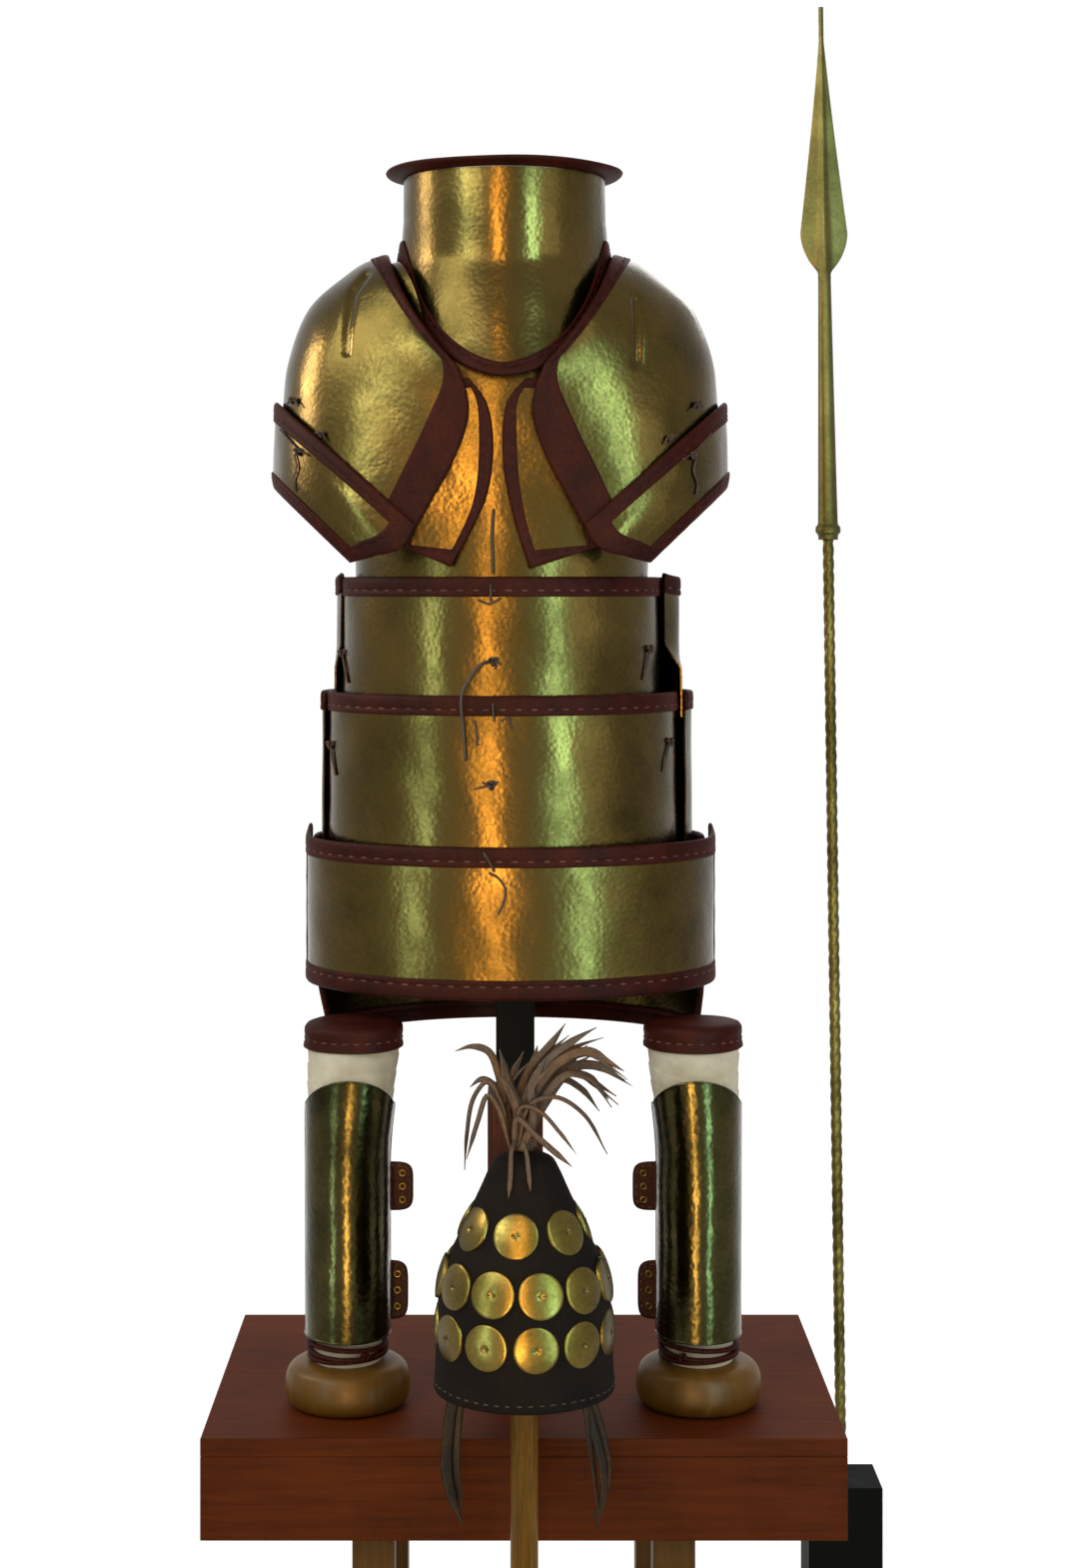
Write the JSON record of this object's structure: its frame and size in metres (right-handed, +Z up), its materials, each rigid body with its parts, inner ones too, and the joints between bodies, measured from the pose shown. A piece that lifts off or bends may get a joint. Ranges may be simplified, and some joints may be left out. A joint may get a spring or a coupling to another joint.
{
  "type": "mycenaean bronze armour on a display stand",
  "caption": "Mycenaean bronze panoply with collar, shoulder guards, skirt bands and greaves on a stand, with a disc-covered cap and a spear.",
  "frame": {"origin": "centre of the bounding box's underside, on the floor", "axes": "+Z up, the armour faces -Y, +X towards the spear"},
  "size_m": [0.8274, 0.743, 2.1166],
  "materials": {
    "bronze": "hammered bronze, polished",
    "leather_binding": "dark red leather with stitching",
    "cap_leather": "near-black leather with bronze discs",
    "plume_leather": "brown leather strips",
    "strap_leather": "brown leather",
    "cloth": "wound cream cloth",
    "plinth_paint": "red-brown painted wood",
    "sleeve_wood": "red-brown stained wood",
    "black_paint": "black painted wood",
    "foot_wood": "pale carved wood",
    "pole_wood": "varnished wood",
    "spear_bronze": "cast bronze, dull",
    "lacing": "round leather thong"
  },
  "bodies": {
    "stand": {"plinth_top": "plinth_paint", "plinth_frame": "plinth_paint", "plinth_leg_front_left": "plinth_paint", "plinth_leg_front_right": "plinth_paint", "plinth_leg_back_left": "plinth_paint", "plinth_leg_back_right": "plinth_paint", "post_sleeve": "sleeve_wood", "post": "black_paint", "shoulder_bar": "pole_wood", "cuirass_front": "bronze", "cuirass_back": "bronze", "front_band_1": "bronze", "front_band_binding_1": "leather_binding", "back_band_1": "bronze", "back_band_binding_1": "leather_binding", "cap_stand": "pole_wood", "spear_block": "black_paint", "chest_lace": "lacing", "band_lace": "lacing", "left_foot": "foot_wood", "left_leg_form": "cloth", "left_leg_cap": "leather_binding", "left_greave": "bronze", "left_ankle_strap": "leather_binding", "left_upper_flap": "leather_binding", "left_lower_flap": "leather_binding", "right_foot": "foot_wood", "right_leg_form": "cloth", "right_leg_cap": "leather_binding", "right_greave": "bronze", "right_ankle_strap": "leather_binding", "right_upper_flap": "leather_binding", "right_lower_flap": "leather_binding"},
    "gorget": {"collar": "bronze", "collar_binding": "leather_binding", "collar_rim": "leather_binding"},
    "left_pauldron": {"left_shoulder_guard": "bronze", "left_shoulder_binding": "leather_binding", "left_chest_plate": "bronze"},
    "right_pauldron": {"right_shoulder_guard": "bronze", "right_shoulder_binding": "leather_binding", "right_chest_plate": "bronze"},
    "left_arm": {"left_arm_guard": "bronze", "left_arm_binding": "leather_binding"},
    "right_arm": {"right_arm_guard": "bronze", "right_arm_binding": "leather_binding"},
    "front_skirt_2": {"front_band_2": "bronze", "front_band_binding_2": "leather_binding"},
    "front_skirt_3": {"front_band_3": "bronze", "front_band_binding_3": "leather_binding"},
    "back_skirt_2": {"back_band_2": "bronze", "back_band_binding_2": "leather_binding"},
    "back_skirt_3": {"back_band_3": "bronze", "back_band_binding_3": "leather_binding"},
    "headgear": {"cap": "cap_leather", "plume": "plume_leather", "left_chin_strap": "strap_leather", "right_chin_strap": "strap_leather"},
    "spear": {"spear_head": "spear_bronze", "spear_shaft": "spear_bronze"}
  },
  "joints": [
    {"name": "gorget_lift", "type": "slide", "parent": "stand", "child": "gorget", "axis": [0, 0, 1], "range_m": [0, 0.25]},
    {"name": "left_pauldron_swing", "type": "hinge", "parent": "stand", "child": "left_pauldron", "pos_m": [-0.21575, 0.0355, 1.756], "axis": [0, 1, 0], "range_deg": [0, 25]},
    {"name": "right_pauldron_swing", "type": "hinge", "parent": "stand", "child": "right_pauldron", "pos_m": [0.05225, 0.0355, 1.756], "axis": [0, -1, 0], "range_deg": [0, 25]},
    {"name": "left_arm_swing", "type": "hinge", "parent": "left_pauldron", "child": "left_arm", "pos_m": [-0.3505, 0.0355, 1.574], "axis": [0, 1, 0], "range_deg": [0, 20]},
    {"name": "right_arm_swing", "type": "hinge", "parent": "right_pauldron", "child": "right_arm", "pos_m": [0.187, 0.0355, 1.574], "axis": [0, -1, 0], "range_deg": [0, 20]},
    {"name": "front_skirt_2_slide", "type": "slide", "parent": "stand", "child": "front_skirt_2", "axis": [0, 0, 1], "range_m": [0, 0.025]},
    {"name": "front_skirt_3_slide", "type": "slide", "parent": "front_skirt_2", "child": "front_skirt_3", "axis": [0, 0, 1], "range_m": [0, 0.06]},
    {"name": "back_skirt_2_slide", "type": "slide", "parent": "stand", "child": "back_skirt_2", "axis": [0, 0, 1], "range_m": [0, 0.06]},
    {"name": "back_skirt_3_slide", "type": "slide", "parent": "back_skirt_2", "child": "back_skirt_3", "axis": [0, 0, 1], "range_m": [0, 0.06]},
    {"name": "headgear_lift", "type": "slide", "parent": "stand", "child": "headgear", "axis": [0, 0, 1], "range_m": [0, 0.26]},
    {"name": "spear_lift", "type": "slide", "parent": "stand", "child": "spear", "axis": [-0.014, 0, 0.9999], "range_m": [0, 0.08]}
  ]
}
